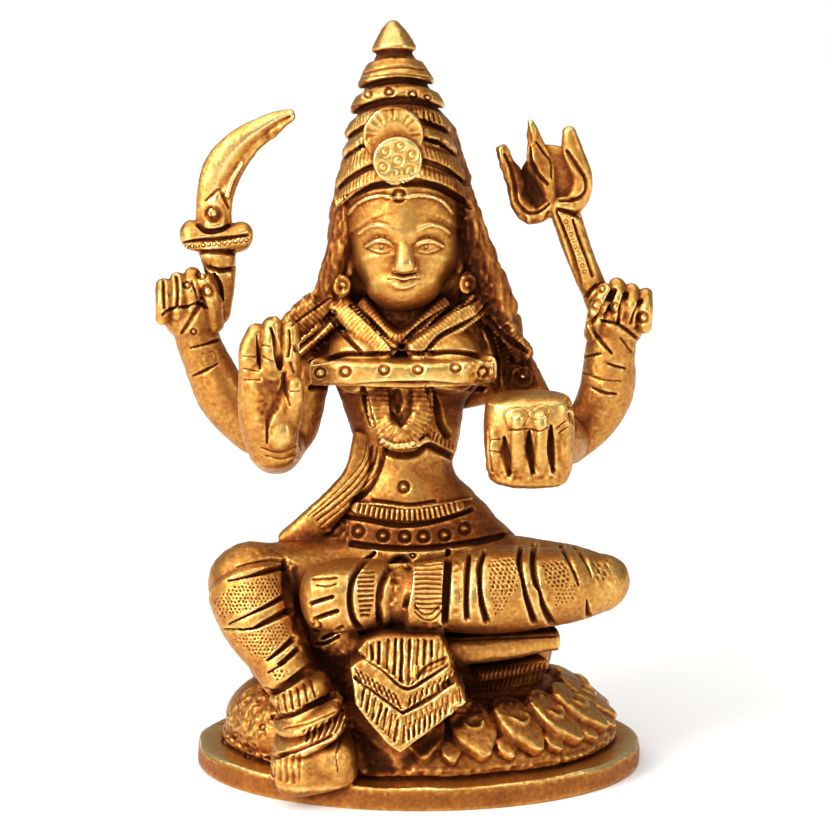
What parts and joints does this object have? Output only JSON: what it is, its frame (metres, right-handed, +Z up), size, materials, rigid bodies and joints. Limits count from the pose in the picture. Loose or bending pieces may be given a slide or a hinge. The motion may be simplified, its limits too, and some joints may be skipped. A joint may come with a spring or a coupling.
{
  "type": "hindu goddess idol",
  "caption": "Small household idol: a many-armed goddess seated on a low lotus dome and oval base, cast in brass as one piece, with curved dagger, cup and trident.",
  "frame": {"origin": "centre of the oval base's underside", "axes": "+Z up from the surface that the idol stands on, -Y towards its front, +X to the right of someone who faces it"},
  "size_m": [0.0781, 0.0547, 0.1182],
  "materials": {
    "brass": "hand-polished cast brass, with brown antique patina left in the recesses"
  },
  "bodies": {
    "root": {"goddess_idol": "brass"}
  },
  "joints": []
}
